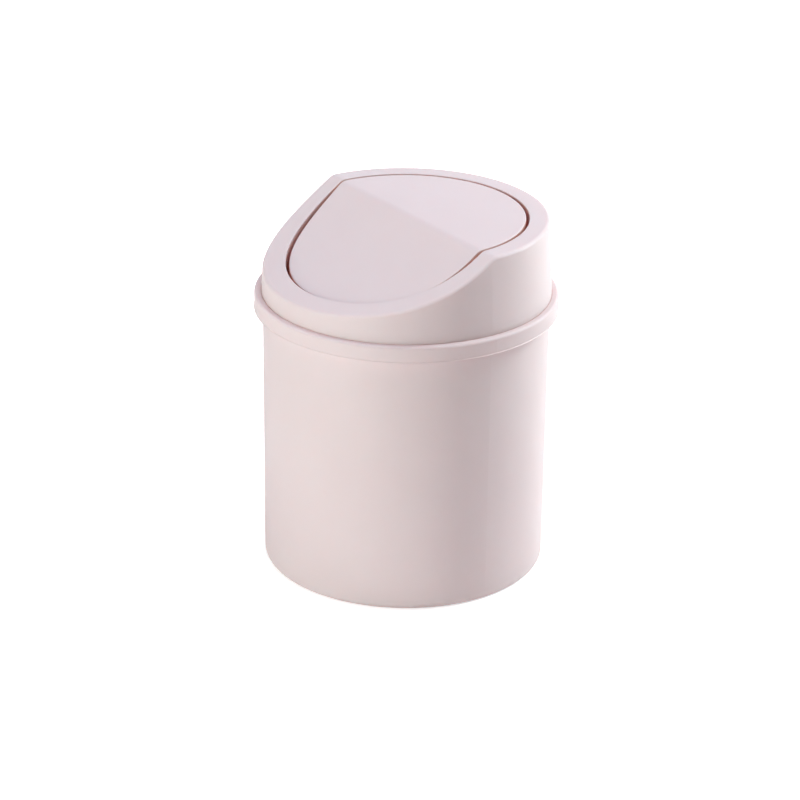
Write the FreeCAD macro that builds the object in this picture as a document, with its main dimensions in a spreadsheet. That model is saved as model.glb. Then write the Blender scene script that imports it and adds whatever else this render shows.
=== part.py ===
import FreeCAD, Part
import math
import os
import re
from collections import namedtuple

import Sketcher

# A mini desktop bin with a swing lid, in millimetres.
# The origin is the middle of the base and +Z is up. The flap's pivot runs along X,
# the lid's flat half is at +Y and its scooped front half is at -Y.

# Driving sizes: word, value, meaning
SIZES = [
    ("bin_height", 150.0, "base to the flat top of the lid"),
    ("overrun", 5.0, "how far every cut and every trimmed block runs past the solid"),
    # bucket
    ("band_radius", 62.4, "outside of the stepped-out band"),
    ("band_height", 6.8, "height of the band"),
    ("band_step", 3.5, "how far the band stands out from the bucket"),
    ("bucket_draft", 0.5, "how much narrower the foot is than the neck under the band"),
    ("bucket_wall", 1.8, "bucket wall thickness"),
    ("floor_thickness", 2.0, "bucket floor thickness"),
    ("foot_height", 1.6, "how far the floor is raised on the foot ring"),
    ("foot_width", 5.0, "width of the foot ring"),
    ("foot_round", 2.6, "rounding of the foot's outer edge"),
    ("floor_round", 3.0, "rounding inside the bucket where wall and floor meet"),
    ("band_wall", 2.75, "thickness of the band round the lid's socket"),
    ("ledge_thickness", 1.9, "thickness of the ledge that carries the lid"),
    ("band_top_round", 1.0, "rounding of the band's top outer edge"),
    ("band_flare", 0.35, "how far the band's lower edge flares out"),
    ("band_flare_height", 0.5, "height over which the band's lower edge flares out"),
    ("band_low_round", 0.12, "rounding of the band's lower edge"),
    # lid collar
    ("socket_clearance", 0.15, "sliding clearance between the lid and its socket"),
    ("collar_wall", 1.8, "collar wall thickness"),
    ("lid_rise", 32.2, "band's top edge to the flat top of the lid"),
    ("collar_taper", 1.7, "how much narrower the collar is at the flat top than at the band"),
    ("lead_in", 0.6, "bevel at the collar's lower edge"),
    ("rim_thickness", 2.0, "thickness of the collar's top"),
    ("ridge_offset", 1.4, "ridge line, behind the middle"),
    ("scoop_radius", 140.0, "radius of the concave front half"),
    ("scoop_slope", 35.1, "slope of the scoop at the ridge, degrees"),
    ("ridge_round", 5.0, "rounding of the ridge on the collar"),
    ("rim_round", 1.4, "rounding of the collar's top outer edge"),
    ("rim_width", 8.3, "width of the collar's flat top round the mouth"),
    ("mouth_round", 0.35, "rounding of the mouth's edge"),
    ("lip_wall", 1.6, "thickness of the lip round the mouth"),
    ("lip_depth", 5.0, "depth of the lip below the collar's top"),
    # flap
    ("flap_gap", 1.4, "gap between the flap and the mouth"),
    ("flap_thickness", 2.0, "flap thickness"),
    ("crease_offset", 0.6, "crease line of the flap, behind the middle"),
    ("flap_scoop_radius", 113.5, "radius of the flap's concave front half"),
    ("flap_scoop_slope", 39.5, "slope of the flap at its crease, degrees"),
    ("crease_round", 6.0, "rounding of the flap's crease"),
    ("flap_round", 0.45, "rounding of the flap's top edge"),
    # pivot
    ("pivot_depth", 5.5, "pivot axis below the flat top"),
    ("pivot_forward", 0.86, "pivot axis in front of the middle, under the flap's balance point"),
    ("pin_radius", 1.5, "radius of the stub pins"),
    ("pin_clearance", 0.08, "running clearance round the stub pins"),
    ("pin_bevel", 0.5, "bevel at the free end of each pin"),
    ("pin_stand_out", 0.6, "how far each pin passes its lug"),
    ("hub_radius", 2.1, "radius of the shoulder behind each pin"),
    ("hub_clearance", 0.6, "gap between shoulder and lug"),
    ("ear_radius", 3.4, "radius of the rounded end of each ear"),
    ("ear_thickness", 2.4, "thickness of each ear"),
    ("ear_inset", 0.3, "ears, in from the flap's edge"),
    ("lug_radius", 4.2, "radius of the rounded end of each lug"),
    ("lug_thickness", 2.4, "thickness of each lug"),
    ("lug_setback", 0.1, "lug's face, back from the mouth"),
    ("web_thickness", 1.5, "thickness of the webs between lug and collar wall"),
    ("web_drop", 2.5, "how far the webs reach below the pivot"),
    ("web_bite", 0.8, "how far the webs run into the lug and the collar wall"),
]

# How closely an edge must match the place where it is looked for
TOP_EDGE_SLACK = 0.5
MATCH_SHARE = 0.001
EDGE_SAMPLES = 5

# Sketch codes: the two axes, and the points of an edge
LEVEL_AXIS, UPRIGHT_AXIS = range(-1, -3, -1)
START, END, CENTRE = range(1, 4)
FULL_TURN = 360

document = FreeCAD.newDocument("mini_swing_bin")
sheet = document.addObject("Spreadsheet::Sheet", "sizes")
for row, (word, value, meaning) in enumerate(SIZES, start=1):
    sheet.set(f"A{row}", str(value))
    sheet.setAlias(f"A{row}", word)
    sheet.set(f"B{row}", meaning)
document.recompute()

WORDS = {word for word, value, meaning in SIZES}


def bound(formula):
    """The formula with each size's word pointed at its cell."""
    return re.sub(r"[a-z_]+", lambda found: "sizes." + found[0] if found[0] in WORDS else found[0], formula)


def value_of(formula):
    """The number that a formula of sizes comes to."""
    return float(sheet.evalExpression(bound(formula)))


# Derived sizes, as formulas
BAND_TOP = "(bin_height - lid_rise)"
BAND_LOW = "(bin_height - lid_rise - band_height)"
LEDGE = "(bin_height - lid_rise - band_height + ledge_thickness)"
NECK_RADIUS = "(band_radius - band_step)"
FOOT_RADIUS = "(band_radius - band_step - bucket_draft)"
BASE_RADIUS = "(band_radius - band_step - bucket_draft - bucket_wall)"
FLOOR_TOP = "(foot_height + floor_thickness)"
SOCKET_RADIUS = "(band_radius - band_wall)"
COLLAR_RADIUS = "(band_radius - band_wall - socket_clearance)"
TAPER = "(collar_taper / lid_rise)"
MOUTH_RADIUS = f"({COLLAR_RADIUS} - collar_taper - rim_width)"
REACH = "(band_radius + overrun)"
BLOCK_TOP = "(bin_height + overrun)"
LIP_RADIUS = f"({MOUTH_RADIUS} + lip_wall)"
FLAP_RADIUS = f"({MOUTH_RADIUS} - flap_gap)"
PIVOT_Z = "(bin_height - pivot_depth)"
LUG_FACE = f"({MOUTH_RADIUS} + lug_setback)"
LUG_BACK = f"({LUG_FACE} + lug_thickness)"
EAR_FACE = f"({FLAP_RADIUS} - ear_inset)"

# The two top surfaces: flat behind a ridge, rounded over it, and scooped in front of it.
# The flap's front hangs a little below the collar's, so that its edge is hidden behind the rim.
Top = namedtuple("Top", "ridge slope radius bend")
COLLAR_TOP = Top("ridge_offset", "scoop_slope", "scoop_radius", "ridge_round")
FLAP_TOP = Top("crease_offset", "flap_scoop_slope", "flap_scoop_radius", "crease_round")


# Sketch helpers

def origin_part(body, role):
    """The plane or axis of a body's own origin."""
    return next(item for item in body.Origin.OriginFeatures if item.Role == role)


def new_sketch(body, name, role, lift=None):
    """An empty sketch on one of the body's origin planes, or lifted off it."""
    sketch = body.newObject("Sketcher::SketchObject", name)
    sketch.AttachmentSupport = (origin_part(body, role), [""])
    sketch.MapMode = "FlatFace"
    if lift:
        sketch.setExpression("AttachmentOffset.Base.z", bound(lift))
    return sketch


def hold(sketch, kind, places, formula):
    """A dimension of the sketch, bound to a formula of sizes."""
    index = sketch.addConstraint(Sketcher.Constraint(kind, *places, value_of(formula)))
    sketch.setExpression(f"Constraints[{index}]", bound(formula))


def hold_point(sketch, edge, end, across=None, up=None):
    """Pins one point of the sketch across and up from its origin."""
    for kind, axis, formula in (("DistanceX", UPRIGHT_AXIS, across), ("DistanceY", LEVEL_AXIS, up)):
        if formula == "0":
            sketch.addConstraint(Sketcher.Constraint("PointOnObject", edge, end, axis))
        elif formula:
            hold(sketch, kind, (LEVEL_AXIS, START, edge, end), formula)


def spot(across, up):
    return FreeCAD.Vector(value_of(across), value_of(up), 0)


def add_line(sketch, start, end):
    return sketch.addGeometry(Part.LineSegment(start, end), False)


def add_arc(sketch, centre, radius, start, end):
    """An arc about a centre, counter-clockwise from one point's direction to another's."""
    first = math.atan2(start.y - centre.y, start.x - centre.x)
    last = math.atan2(end.y - centre.y, end.x - centre.x)
    circle = Part.Circle(centre, FreeCAD.Vector(0, 0, 1), radius)
    return sketch.addGeometry(Part.ArcOfCircle(circle, first, last), False)


def join(sketch, first, first_end, second, second_end, kind="Coincident"):
    sketch.addConstraint(Sketcher.Constraint(kind, first, first_end, second, second_end))


def level(sketch, *edges):
    for edge in edges:
        sketch.addConstraint(Sketcher.Constraint("Horizontal", edge))


def upright(sketch, *edges):
    for edge in edges:
        sketch.addConstraint(Sketcher.Constraint("Vertical", edge))


def closed_outline(sketch, corners):
    """Straight lines from corner to corner and back again, every corner pinned by sizes."""
    points = [spot(across, up) for across, up in corners]
    lines = [add_line(sketch, start, end) for start, end in zip(points, points[1:] + points[:1])]
    for line, following in zip(lines, lines[1:] + lines[:1]):
        join(sketch, line, END, following, START)
    for line, (across, up) in zip(lines, corners):
        hold_point(sketch, line, START, across, up)


def section_sketch(body, name, corners):
    """A straight-sided section on the XZ plane."""
    sketch = new_sketch(body, name, "XZ_Plane")
    closed_outline(sketch, corners)
    return sketch


def circle_sketch(body, name, role, radii, across="0", up="0", lift=None):
    """Circles about one centre."""
    sketch = new_sketch(body, name, role, lift)
    for radius in radii:
        circle = Part.Circle(spot(across, up), FreeCAD.Vector(0, 0, 1), value_of(radius))
        edge = sketch.addGeometry(circle, False)
        hold_point(sketch, edge, CENTRE, across, up)
        hold(sketch, "Radius", (edge,), radius)
    return sketch


def scoop_axis(surface):
    """Where the axis of a top surface's scoop lies, across and up."""
    across = f"({surface.ridge} - {surface.radius} * sin({surface.slope}))"
    up = f"(bin_height + {surface.radius} * cos({surface.slope}))"
    return across, up


def height_on_arc(surface, radius, across):
    """Height of a scoop's arc, or of one concentric with it, at a distance across."""
    axis_y, axis_z = scoop_axis(surface)
    return f"({axis_z} - sqrt(({radius})^2 - ({across} - {axis_y})^2))"


def block_sketch(body, name, surface, depth):
    """The region from a given depth below a top surface up to a level top."""
    sketch = new_sketch(body, name, "YZ_Plane")
    axis_y, axis_z = scoop_axis(surface)
    radius = f"({surface.radius} + {depth})"
    flat = f"(bin_height - {depth})"
    corner_y = f"({axis_y} + sqrt({radius}^2 - ({axis_z} - {flat})^2))"
    corner = spot(corner_y, flat)
    front_low = spot("-" + REACH, height_on_arc(surface, radius, "-" + REACH))
    front_high = spot("-" + REACH, BLOCK_TOP)
    back_high = spot(REACH, BLOCK_TOP)
    back_low = spot(REACH, flat)
    plateau = add_line(sketch, back_low, corner)
    scoop = add_arc(sketch, spot(axis_y, axis_z), value_of(radius), front_low, corner)
    front = add_line(sketch, front_low, front_high)
    top = add_line(sketch, front_high, back_high)
    back = add_line(sketch, back_high, back_low)
    join(sketch, plateau, END, scoop, END)
    join(sketch, scoop, START, front, START)
    join(sketch, front, END, top, START)
    join(sketch, top, END, back, START)
    join(sketch, back, END, plateau, START)
    level(sketch, plateau, top)
    upright(sketch, front, back)
    hold_point(sketch, plateau, START, REACH, flat)
    hold_point(sketch, front, END, "-" + REACH, BLOCK_TOP)
    hold_point(sketch, scoop, CENTRE, axis_y, axis_z)
    hold(sketch, "Radius", (scoop,), radius)
    return sketch


def air_sketch(body, name, surface):
    """The region over a top surface: flat, rounded over the ridge, then scooped."""
    sketch = new_sketch(body, name, "YZ_Plane")
    axis_y, axis_z = scoop_axis(surface)
    bend_z = f"(bin_height - {surface.bend})"
    bend_y = f"({axis_y} + sqrt(({surface.radius} + {surface.bend})^2 - ({axis_z} - {bend_z})^2))"
    axis = spot(axis_y, axis_z)
    bend_centre = spot(bend_y, bend_z)
    touch = bend_centre + (axis - bend_centre).normalize() * value_of(surface.bend)
    bend_top = spot(bend_y, "bin_height")
    front_low = spot("-" + REACH, height_on_arc(surface, surface.radius, "-" + REACH))
    front_high = spot("-" + REACH, BLOCK_TOP)
    back_high = spot(REACH, BLOCK_TOP)
    back_low = spot(REACH, "bin_height")
    plateau = add_line(sketch, back_low, bend_top)
    bend = add_arc(sketch, bend_centre, value_of(surface.bend), bend_top, touch)
    scoop = add_arc(sketch, axis, value_of(surface.radius), front_low, touch)
    front = add_line(sketch, front_low, front_high)
    top = add_line(sketch, front_high, back_high)
    back = add_line(sketch, back_high, back_low)
    join(sketch, plateau, END, bend, START, "Tangent")
    join(sketch, bend, END, scoop, END, "Tangent")
    join(sketch, scoop, START, front, START)
    join(sketch, front, END, top, START)
    join(sketch, top, END, back, START)
    join(sketch, back, END, plateau, START)
    level(sketch, plateau, top)
    upright(sketch, front, back)
    hold_point(sketch, plateau, START, REACH, "bin_height")
    hold_point(sketch, front, END, "-" + REACH, BLOCK_TOP)
    hold_point(sketch, scoop, CENTRE, axis_y, axis_z)
    hold(sketch, "Radius", (scoop,), surface.radius)
    hold(sketch, "Radius", (bend,), surface.bend)
    return sketch


def hanger_sketch(body, name, radius, lift):
    """A tongue round the pivot axis: straight sides from the block's top, rounded at its lower end."""
    sketch = new_sketch(body, name, "YZ_Plane", lift)
    near = f"(-pivot_forward - {radius})"
    far = f"({radius} - pivot_forward)"
    near_low = spot(near, PIVOT_Z)
    far_low = spot(far, PIVOT_Z)
    near_high = spot(near, BLOCK_TOP)
    far_high = spot(far, BLOCK_TOP)
    end = add_arc(sketch, spot("-pivot_forward", PIVOT_Z), value_of(radius), near_low, far_low)
    far_side = add_line(sketch, far_low, far_high)
    top = add_line(sketch, far_high, near_high)
    near_side = add_line(sketch, near_high, near_low)
    join(sketch, end, END, far_side, START, "Tangent")
    join(sketch, far_side, END, top, START)
    join(sketch, top, END, near_side, START)
    join(sketch, near_side, END, end, START, "Tangent")
    upright(sketch, far_side, near_side)
    level(sketch, top)
    hold_point(sketch, end, CENTRE, "-pivot_forward", PIVOT_Z)
    hold(sketch, "Radius", (end,), radius)
    hold_point(sketch, top, START, None, BLOCK_TOP)
    return sketch


def web_sketch(body, name, lift):
    """Two upright webs, flush with the sides of the lug."""
    sketch = new_sketch(body, name, "YZ_Plane", lift)
    low = f"({PIVOT_Z} - web_drop)"
    near = ("(-pivot_forward - lug_radius)", "(web_thickness - pivot_forward - lug_radius)")
    far = ("(lug_radius - web_thickness - pivot_forward)", "(lug_radius - pivot_forward)")
    for left, right in (near, far):
        closed_outline(sketch, [(left, low), (right, low), (right, BLOCK_TOP), (left, BLOCK_TOP)])
    return sketch


# Feature helpers

def extrude(body, kind, name, sketch, length, symmetric=False):
    """A pad or pocket along the sketch's normal, or evenly to both sides of it."""
    feature = body.newObject("PartDesign::" + kind, name)
    feature.Profile = sketch
    feature.Type = "Length"
    feature.SideType = "Symmetric" if symmetric else "One side"
    feature.setExpression("Length", bound(length))
    return feature


def turn(body, kind, name, sketch):
    """A revolution or groove once round the Z axis."""
    feature = body.newObject("PartDesign::" + kind, name)
    feature.Profile = sketch
    feature.ReferenceAxis = (sketch, ["V_Axis"])
    feature.Angle = FULL_TURN
    return feature


def mirror_across_middle(body, name, features):
    mirror = body.newObject("PartDesign::Mirrored", name)
    mirror.Originals = features
    mirror.MirrorPlane = (origin_part(body, "YZ_Plane"), [""])
    body.Tip = mirror
    return mirror


def soften(body, kind, name, base, chosen, amount):
    """A fillet or chamfer on the edges of the base that pass a test."""
    document.recompute()
    names = [f"Edge{index}" for index, edge in enumerate(base.Shape.Edges, start=1) if chosen(edge)]
    if not names:
        raise RuntimeError(f"{name}: no edge found")
    feature = body.newObject("PartDesign::" + kind, name)
    feature.Base = (base, names)
    feature.setExpression("Radius" if kind == "Fillet" else "Size", bound(amount))
    return feature


def is_ring(edge, radius, height):
    """Whether an edge is a level circle of a given radius at a given height."""
    curve = edge.Curve
    if not isinstance(curve, Part.Circle):
        return False
    close = MATCH_SHARE * value_of(radius)
    same_radius = abs(curve.Radius - value_of(radius)) < close
    return same_radius and abs(curve.Center.z - value_of(height)) < close


def on_top_edge(edge, surface, inner, outer):
    """Whether an edge runs round a top surface, between two radii."""
    if isinstance(edge.Curve, Part.Line):
        return False
    axis_y, axis_z = (value_of(formula) for formula in scoop_axis(surface))
    for point in edge.discretize(EDGE_SAMPLES):
        top = value_of("bin_height")
        if point.y < value_of(surface.ridge):
            top = axis_z - math.sqrt(value_of(surface.radius) ** 2 - (point.y - axis_y) ** 2)
        radius = math.hypot(point.x, point.y)
        if abs(point.z - top) > TOP_EDGE_SLACK or not value_of(inner) < radius < value_of(outer):
            return False
    return True


def is_pin_end(edge):
    """Whether an edge is the rim of a stub pin's free end."""
    curve = edge.Curve
    if not isinstance(curve, Part.Circle):
        return False
    end = value_of(f"{LUG_BACK} + pin_stand_out")
    close = MATCH_SHARE * end
    return abs(abs(curve.Center.x) - end) < close and abs(curve.Radius - value_of("pin_radius")) < close


# Bucket: foot ring, drafted wall, and a stepped band that is the lid's socket
bucket = document.addObject("PartDesign::Body", "bin_bucket")
bucket_section = section_sketch(bucket, "bucket_section", [
    ("0", "foot_height"),
    (f"{FOOT_RADIUS} - foot_width", "foot_height"),
    (f"{FOOT_RADIUS} - foot_width", "0"),
    (FOOT_RADIUS, "0"),
    (NECK_RADIUS, BAND_LOW),
    ("band_radius + band_flare", BAND_LOW),
    ("band_radius", f"{BAND_LOW} + band_flare_height"),
    ("band_radius", BAND_TOP),
    (SOCKET_RADIUS, BAND_TOP),
    (SOCKET_RADIUS, LEDGE),
    (f"{NECK_RADIUS} - bucket_wall", LEDGE),
    (BASE_RADIUS, FLOOR_TOP),
    ("0", FLOOR_TOP),
])
bucket_shell = turn(bucket, "Revolution", "bucket_shell", bucket_section)
foot_edge = soften(bucket, "Fillet", "foot_edge", bucket_shell,
                   lambda edge: is_ring(edge, FOOT_RADIUS, "0"), "foot_round")
floor_corner = soften(bucket, "Fillet", "floor_corner", foot_edge,
                      lambda edge: is_ring(edge, BASE_RADIUS, FLOOR_TOP), "floor_round")
band_low_edge = soften(bucket, "Fillet", "band_low_edge", floor_corner,
                       lambda edge: is_ring(edge, "band_radius + band_flare", BAND_LOW), "band_low_round")
band_top_edge = soften(bucket, "Fillet", "band_top_edge", band_low_edge,
                       lambda edge: is_ring(edge, "band_radius", BAND_TOP), "band_top_round")

# Lid collar: a lip round the mouth, a top that follows the scoop, and a tapered wall
collar = document.addObject("PartDesign::Body", "lid_collar")
lip_underside = block_sketch(collar, "lip_underside", COLLAR_TOP, "lip_depth")
lip_block = extrude(collar, "Pad", "lip_block", lip_underside, "2 * " + REACH, symmetric=True)
around_lip = circle_sketch(collar, "around_lip", "XY_Plane", [LIP_RADIUS, "2 * " + REACH])
lip = extrude(collar, "Pocket", "lip", around_lip, "2 * (bin_height + 2 * overrun)", symmetric=True)
top_underside = block_sketch(collar, "top_underside", COLLAR_TOP, "rim_thickness")
top_block = extrude(collar, "Pad", "top_block", top_underside, "2 * " + REACH, symmetric=True)
around_top = section_sketch(collar, "around_top", [
    (f"{COLLAR_RADIUS} - collar_wall / 2", BAND_TOP),
    ("2 * " + REACH, BAND_TOP),
    ("2 * " + REACH, "bin_height + 2 * overrun"),
    (f"{COLLAR_RADIUS} - collar_wall / 2 - {TAPER} * (bin_height + 2 * overrun - {BAND_TOP})",
     "bin_height + 2 * overrun"),
])
top_disc = turn(collar, "Groove", "top_disc", around_top)
wall_section = section_sketch(collar, "wall_section", [
    (f"{COLLAR_RADIUS} - collar_wall", LEDGE),
    (f"{COLLAR_RADIUS} - lead_in", LEDGE),
    (COLLAR_RADIUS, f"{LEDGE} + lead_in"),
    (COLLAR_RADIUS, BAND_TOP),
    (f"{COLLAR_RADIUS} - {TAPER} * ({BLOCK_TOP} - {BAND_TOP})", BLOCK_TOP),
    (f"{COLLAR_RADIUS} - collar_wall - {TAPER} * ({BLOCK_TOP} - {BAND_TOP})", BLOCK_TOP),
    (f"{COLLAR_RADIUS} - collar_wall", BAND_TOP),
])
wall = turn(collar, "Revolution", "wall", wall_section)
lug_outline = hanger_sketch(collar, "lug_outline", "lug_radius", LUG_FACE)
lug = extrude(collar, "Pad", "lug", lug_outline, "lug_thickness")
web_start = f"({LUG_BACK} - web_bite)"
web_end = f"({COLLAR_RADIUS} - collar_wall - {TAPER} * ({PIVOT_Z} - {BAND_TOP}) + web_bite / 2)"
web_outline = web_sketch(collar, "web_outline", web_start)
webs = extrude(collar, "Pad", "webs", web_outline, f"{web_end} - {web_start}")
bore_outline = circle_sketch(collar, "bore_outline", "YZ_Plane", ["pin_radius + pin_clearance"],
                             "-pivot_forward", PIVOT_Z, LUG_FACE)
bore = extrude(collar, "Pocket", "bore", bore_outline, "2 * lug_thickness + overrun", symmetric=True)
lug_pair = mirror_across_middle(collar, "lug_pair", [lug, webs, bore])
collar_air = extrude(collar, "Pocket", "collar_air", air_sketch(collar, "collar_top", COLLAR_TOP),
                     "2 * (" + REACH + " + overrun)", symmetric=True)
mouth_outline = circle_sketch(collar, "mouth_outline", "XY_Plane", [MOUTH_RADIUS])
mouth = extrude(collar, "Pocket", "mouth", mouth_outline, "2 * (bin_height + 2 * overrun)", symmetric=True)
rim_edge = soften(collar, "Fillet", "rim_edge", mouth,
                  lambda edge: on_top_edge(edge, COLLAR_TOP, LIP_RADIUS, "band_radius"), "rim_round")
mouth_edge = soften(collar, "Fillet", "mouth_edge", rim_edge,
                    lambda edge: on_top_edge(edge, COLLAR_TOP, FLAP_RADIUS, LIP_RADIUS), "mouth_round")

# Flap: a round plate that fills the mouth, with two ears, shoulders and stub pins
flap = document.addObject("PartDesign::Body", "swing_flap")
flap_underside = block_sketch(flap, "flap_underside", FLAP_TOP, "flap_thickness")
flap_block = extrude(flap, "Pad", "flap_block", flap_underside, "2 * " + REACH, symmetric=True)
around_flap = circle_sketch(flap, "around_flap", "XY_Plane", [FLAP_RADIUS, "2 * " + REACH])
flap_disc = extrude(flap, "Pocket", "flap_disc", around_flap,
                    "2 * (bin_height + 2 * overrun)", symmetric=True)
ear_outline = hanger_sketch(flap, "ear_outline", "ear_radius", f"{EAR_FACE} - ear_thickness")
ear = extrude(flap, "Pad", "ear", ear_outline, "ear_thickness")
hub_start = f"({EAR_FACE} - ear_thickness / 2)"
hub_end = f"({LUG_FACE} - hub_clearance)"
hub_outline = circle_sketch(flap, "hub_outline", "YZ_Plane", ["hub_radius"],
                            "-pivot_forward", PIVOT_Z, hub_start)
hub = extrude(flap, "Pad", "hub", hub_outline, f"{hub_end} - {hub_start}")
pin_outline = circle_sketch(flap, "pin_outline", "YZ_Plane", ["pin_radius"],
                            "-pivot_forward", PIVOT_Z, hub_start)
pin = extrude(flap, "Pad", "pin", pin_outline, f"{LUG_BACK} + pin_stand_out - {hub_start}")
pin_pair = mirror_across_middle(flap, "pin_pair", [ear, hub, pin])
flap_air = extrude(flap, "Pocket", "flap_air", air_sketch(flap, "flap_top", FLAP_TOP),
                   "2 * (" + REACH + " + overrun)", symmetric=True)
flap_edge = soften(flap, "Fillet", "flap_edge", flap_air,
                   lambda edge: on_top_edge(edge, FLAP_TOP, f"{FLAP_RADIUS} - ear_inset", MOUTH_RADIUS),
                   "flap_round")
pin_ends = soften(flap, "Chamfer", "pin_ends", flap_edge, is_pin_end, "pin_bevel")

# Checks before anything is written
document.recompute()
for item in document.Objects:
    if "Invalid" in item.State or "Error" in item.State:
        raise RuntimeError(f"{item.Name} failed: {item.State}")
pieces = (bucket, collar, flap)
for piece in pieces:
    piece.Placement = FreeCAD.Placement()
    if piece.Shape.isNull() or not piece.Shape.isValid() or len(piece.Shape.Solids) != 1:
        raise RuntimeError(f"{piece.Label} isn't one valid solid")
cuts = (lip, top_disc, bore, collar_air, mouth, flap_disc, flap_air)
for cut in cuts:
    if cut.Shape.Volume >= cut.BaseFeature.Shape.Volume:
        raise RuntimeError(f"{cut.Name} cut nothing away")

os.makedirs("parts", exist_ok=True)
for piece in pieces:
    piece.Shape.exportStep(f"parts/{piece.Label}.step")
    box = piece.Shape.BoundBox
    print(piece.Label, round(piece.Shape.Volume), "cubic mm", [round(side, 2) for side in
          (box.XMin, box.XMax, box.YMin, box.YMax, box.ZMin, box.ZMax)])
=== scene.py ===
import math

import bpy
from mathutils import Matrix, Vector

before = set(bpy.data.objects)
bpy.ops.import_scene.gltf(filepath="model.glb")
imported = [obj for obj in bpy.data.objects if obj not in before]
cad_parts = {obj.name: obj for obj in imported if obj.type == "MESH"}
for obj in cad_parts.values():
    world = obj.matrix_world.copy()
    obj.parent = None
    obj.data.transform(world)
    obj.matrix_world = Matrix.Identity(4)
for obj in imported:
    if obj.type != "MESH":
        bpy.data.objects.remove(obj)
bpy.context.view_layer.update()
scene = bpy.context.scene

# Lengths are in metres, angles in degrees, and colours are linear light

# Colours
PLASTIC_PINK = (0.800, 0.655, 0.645, 1.0)
PLASTIC_SHADE = (0.785, 0.638, 0.628, 1.0)
# Painted shade: the deeper pink that is painted into narrow gaps, where little light reaches
GAP_PAINTED_SHADE = (0.80, 0.36, 0.25, 1.0)
THROUGH_PINK = (0.95, 0.44, 0.35, 1.0)
FLOOR_WHITE = (0.90, 0.81, 0.81, 1.0)
WHITE = (1.0, 1.0, 1.0, 1.0)

# Plastic: its shine, the share of light that spreads under its skin, how far red, green and blue go as
# shares of the reach, the reach, and the share of light that its walls let through
SHINE = 0.3
SPREAD_SHARE = 0.15
SPREAD_BY_COLOUR = (1.0, 0.45, 0.38)
SPREAD_REACH = 0.0025
THROUGH_SHARE = 0.20

# Clouding: a slow noise, and the levels of it that have the shade and the plain pink
CLOUD_SCALE = 28.0
CLOUD_DETAIL = 3.0
CLOUD_ROUGHNESS = 0.55
CLOUD_SHADE_LEVEL = 0.3
CLOUD_PINK_LEVEL = 0.6

# Gaps: painted shade, a deeper pink put into the colour where narrow gaps are shut in. How far away a facing
# wall still counts, how open a spot is where the painted shade starts to fade, and how open where it is
# gone. Below the seam's height the plastic is always plain, because those walls show when the lid is lifted.
GAP_REACH = 0.004
GAP_SHUT = 0.10
GAP_OPEN = 0.60
SEAM_HEIGHT = 0.117

# Grain: a fine noise, the roughness that it gives the finish, and how far it stands up
GRAIN_SCALE = 3200.0
GRAIN_DETAIL = 2.0
GRAIN_ROUGHNESS = 0.6
GRAIN_LOW = 0.3
GRAIN_HIGH = 0.7
FINISH_SMOOTH = 0.40
FINISH_ROUGH = 0.52
BUMP_STRENGTH = 0.06
BUMP_HEIGHT = 0.00012

# Floor: its size, and its glow in the picture near the bin and away from it
FLOOR_SIZE = 12.0
FLOOR_NEAR = 0.10
FLOOR_FAR = 0.60
GLOW_NEAR = 0.55
GLOW_FAR = 1.0

# World: its strength as a dim fill, and where the camera or a reflection sees it
WORLD_FILL = 0.02
WORLD_SEEN = 1.0

# Lamps: cool daylight from the top and the back, and a plainer key; the warm white floor evens it out
BIN_MIDDLE = (0.0, 0.0, 0.075)
TOP_PLACE = (0.0, 0.05, 1.1)
KEY_TINT = (0.86, 1.0, 0.97)
BACK_TINT = (0.82, 0.99, 1.0)
TOP_TINT = (0.76, 0.84, 1.0)

# Camera: it stands at the front right, a little above the bin. The lens and sensor are in millimetres
CAMERA_PLACE = (0.99381, -0.70440, 0.60380)
CAMERA_TARGET = (-0.00128, -0.00167, 0.06790)
CAMERA_ROLL = 0.756
CAMERA_LENS = 144.0
SENSOR_WIDTH = 36.0
NEAREST_SEEN = 0.01
FARTHEST_SEEN = 50.0


def feed(tree, socket, value):
    """Link an input to an output, or set it to a plain value."""
    if isinstance(value, bpy.types.NodeSocket):
        tree.links.new(value, socket)
    else:
        socket.default_value = value


def add_node(tree, kind, **inputs):
    """A shader node with some of its inputs linked or set. An underscore in a name stands for a space."""
    node = tree.nodes.new(kind)
    for name, value in inputs.items():
        feed(tree, node.inputs[name.replace("_", " ")], value)
    return node


def calculate(tree, operation, first, second):
    """The result of a Math node on two outputs or numbers."""
    node = tree.nodes.new("ShaderNodeMath")
    node.operation = operation
    feed(tree, node.inputs[0], first)
    feed(tree, node.inputs[1], second)
    return node.outputs["Value"]


def seen_ray(tree):
    """One where a ray comes straight from the camera or off a reflection, zero elsewhere."""
    rays = tree.nodes.new("ShaderNodeLightPath")
    return calculate(tree, "MAXIMUM", rays.outputs["Is Camera Ray"], rays.outputs["Is Glossy Ray"])


def clouded_pink(tree, place):
    """The plain colour of the plastic, faintly clouded."""
    clouds = add_node(tree, "ShaderNodeTexNoise", Vector=place, Scale=CLOUD_SCALE,
                      Detail=CLOUD_DETAIL, Roughness=CLOUD_ROUGHNESS)
    colour = add_node(tree, "ShaderNodeValToRGB", Fac=clouds.outputs["Fac"])
    ramp = colour.color_ramp.elements
    ramp[0].position = CLOUD_SHADE_LEVEL
    ramp[0].color = PLASTIC_SHADE
    ramp[1].position = CLOUD_PINK_LEVEL
    ramp[1].color = PLASTIC_PINK
    return colour.outputs["Color"]


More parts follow.
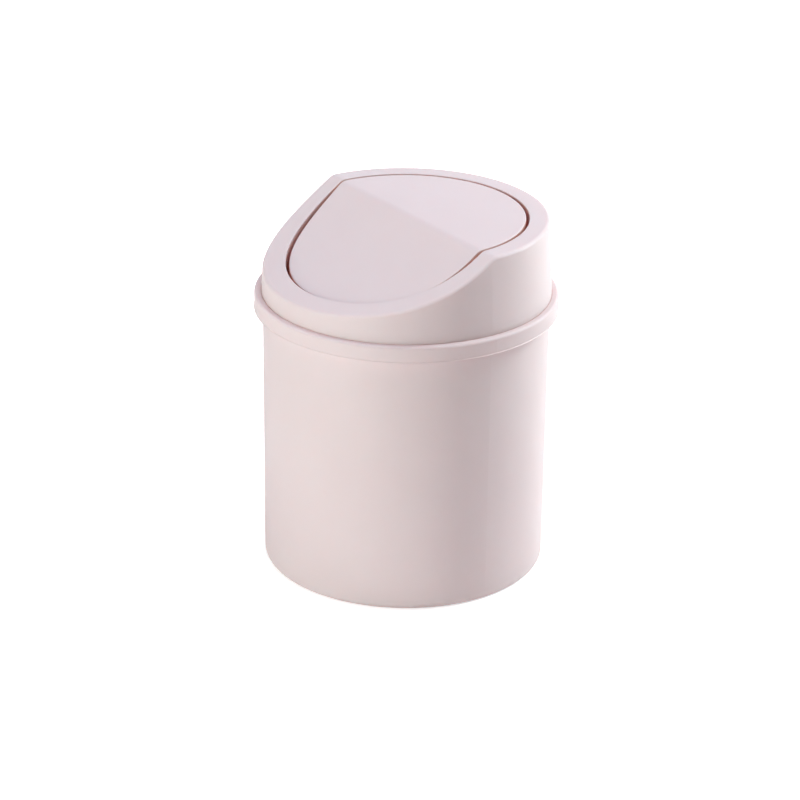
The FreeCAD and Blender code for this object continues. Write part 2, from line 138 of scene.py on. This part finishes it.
def with_painted_gap_shade(tree, place, colour):
    """The given colour, with painted shade (a deeper pink) put into the narrow gaps above the seam."""
    nearby = add_node(tree, "ShaderNodeAmbientOcclusion", Distance=GAP_REACH)
    openness = add_node(tree, "ShaderNodeMapRange", Value=nearby.outputs["AO"],
                        From_Min=GAP_SHUT, From_Max=GAP_OPEN)
    height = add_node(tree, "ShaderNodeSeparateXYZ", Vector=place).outputs["Z"]
    below_seam = calculate(tree, "LESS_THAN", height, SEAM_HEIGHT)
    plain = calculate(tree, "MAXIMUM", openness.outputs["Result"], below_seam)
    # Mix the painted gap shade into the colour where a spot is shut in by a nearby wall
    tint = add_node(tree, "ShaderNodeMixRGB", Fac=plain, Color1=GAP_PAINTED_SHADE, Color2=colour)
    return tint.outputs["Color"]


def plastic(name):
    """Satin moulded plastic: clouding, painted shade of deeper pink in gaps, a fine grain, and walls that
    glow a little.
    """
    material = bpy.data.materials.new(name)
    material.use_nodes = True
    tree = material.node_tree
    place = tree.nodes.new("ShaderNodeTexCoord").outputs["Object"]
    surface = tree.nodes["Principled BSDF"]
    surface.inputs["Specular IOR Level"].default_value = SHINE
    surface.inputs["Subsurface Weight"].default_value = SPREAD_SHARE
    surface.inputs["Subsurface Radius"].default_value = SPREAD_BY_COLOUR
    surface.inputs["Subsurface Scale"].default_value = SPREAD_REACH

    # The clouded pink, with painted shade in the narrow gaps
    colour = with_painted_gap_shade(tree, place, clouded_pink(tree, place))
    tree.links.new(colour, surface.inputs["Base Color"])

    grain = add_node(tree, "ShaderNodeTexNoise", Vector=place, Scale=GRAIN_SCALE,
                     Detail=GRAIN_DETAIL, Roughness=GRAIN_ROUGHNESS).outputs["Fac"]
    finish = add_node(tree, "ShaderNodeMapRange", Value=grain, From_Min=GRAIN_LOW, From_Max=GRAIN_HIGH,
                      To_Min=FINISH_SMOOTH, To_Max=FINISH_ROUGH)
    bump = add_node(tree, "ShaderNodeBump", Height=grain, Strength=BUMP_STRENGTH, Distance=BUMP_HEIGHT)
    tree.links.new(finish.outputs["Result"], surface.inputs["Roughness"])
    tree.links.new(bump.outputs["Normal"], surface.inputs["Normal"])

    through = add_node(tree, "ShaderNodeBsdfTranslucent", Color=THROUGH_PINK)
    wall = add_node(tree, "ShaderNodeMixShader", Fac=THROUGH_SHARE)
    tree.links.new(surface.outputs["BSDF"], wall.inputs[1])
    tree.links.new(through.outputs["BSDF"], wall.inputs[2])
    tree.links.new(wall.outputs["Shader"], tree.nodes["Material Output"].inputs["Surface"])
    return material


def floor_material():
    """A floor that is white to the camera and keeps the bin's soft shadow."""
    material = bpy.data.materials.new("studio_floor")
    material.use_nodes = True
    tree = material.node_tree
    tree.nodes.remove(tree.nodes["Principled BSDF"])
    place = tree.nodes.new("ShaderNodeTexCoord").outputs["Object"]
    distance = tree.nodes.new("ShaderNodeVectorMath")
    distance.operation = "LENGTH"
    tree.links.new(place, distance.inputs[0])
    near_to_far = add_node(tree, "ShaderNodeMapRange", Value=distance.outputs["Value"],
                           From_Min=FLOOR_NEAR, From_Max=FLOOR_FAR, To_Min=GLOW_NEAR, To_Max=GLOW_FAR)
    near_to_far.interpolation_type = "SMOOTHSTEP"
    strength = calculate(tree, "MULTIPLY", near_to_far.outputs["Result"], seen_ray(tree))
    diffuse = add_node(tree, "ShaderNodeBsdfDiffuse", Color=FLOOR_WHITE)
    glow = add_node(tree, "ShaderNodeEmission", Color=WHITE, Strength=strength)
    both = tree.nodes.new("ShaderNodeAddShader")
    tree.links.new(diffuse.outputs["BSDF"], both.inputs[0])
    tree.links.new(glow.outputs["Emission"], both.inputs[1])
    tree.links.new(both.outputs["Shader"], tree.nodes["Material Output"].inputs["Surface"])
    return material


def aim(place, target):
    """The turn that points a lamp or a camera from a place at a target."""
    return (Vector(target) - Vector(place)).to_track_quat("-Z", "Y")


def round_the_bin(azimuth, elevation, distance):
    """A place round the bin: azimuth 0 is in front of it and 90 is to its right."""
    turn = math.radians(azimuth)
    rise = math.radians(elevation)
    level_distance = distance * math.cos(rise)
    return (level_distance * math.sin(turn), -level_distance * math.cos(turn), distance * math.sin(rise))


def soft_box(name, place, width, height, watts, tint):
    """A rectangular studio lamp that points at the middle of the bin."""
    lamp = bpy.data.lights.new(name, "AREA")
    lamp.shape = "RECTANGLE"
    lamp.size = width
    lamp.size_y = height
    lamp.energy = watts
    lamp.color = tint
    box = bpy.data.objects.new(name, lamp)
    scene.collection.objects.link(box)
    box.location = place
    box.rotation_mode = "QUATERNION"
    box.rotation_quaternion = aim(place, BIN_MIDDLE)


# Materials of the pieces
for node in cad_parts.values():
    skin = plastic(node.name + "_plastic")
    for index in range(len(node.data.materials)):
        node.data.materials[index] = skin

# Floor
bpy.ops.mesh.primitive_plane_add(size=FLOOR_SIZE)
floor = bpy.context.object
floor.name = "studio_floor"
floor.data.materials.append(floor_material())

# World: plain white where the camera or a reflection sees it, a dim fill elsewhere
world = bpy.data.worlds.new("studio")
scene.world = world
world.use_nodes = True
world_tree = world.node_tree
background = world_tree.nodes["Background"]
background.inputs["Color"].default_value = WHITE
level = add_node(world_tree, "ShaderNodeMapRange", Value=seen_ray(world_tree),
                 To_Min=WORLD_FILL, To_Max=WORLD_SEEN)
world_tree.links.new(level.outputs["Result"], background.inputs["Strength"])

# Lamps
key_place = round_the_bin(azimuth=8, elevation=12, distance=1.1)
back_place = round_the_bin(azimuth=165, elevation=29, distance=1.0)
soft_box("key_soft_box", key_place, width=0.9, height=0.8, watts=14.2, tint=KEY_TINT)
soft_box("back_strip", back_place, width=0.25, height=0.8, watts=12.5, tint=BACK_TINT)
soft_box("top_soft_box", TOP_PLACE, width=0.6, height=0.6, watts=8.3, tint=TOP_TINT)

# Camera
camera_data = bpy.data.cameras.new("camera")
camera_data.lens = CAMERA_LENS
camera_data.sensor_width = SENSOR_WIDTH
camera_data.clip_start = NEAREST_SEEN
camera_data.clip_end = FARTHEST_SEEN
camera = bpy.data.objects.new("camera", camera_data)
scene.collection.objects.link(camera)
pointing = aim(CAMERA_PLACE, CAMERA_TARGET).to_matrix().to_4x4()
roll = Matrix.Rotation(math.radians(CAMERA_ROLL), 4, "Z")
camera.matrix_world = Matrix.Translation(CAMERA_PLACE) @ pointing @ roll
scene.camera = camera

scene.view_settings.view_transform = "Standard"
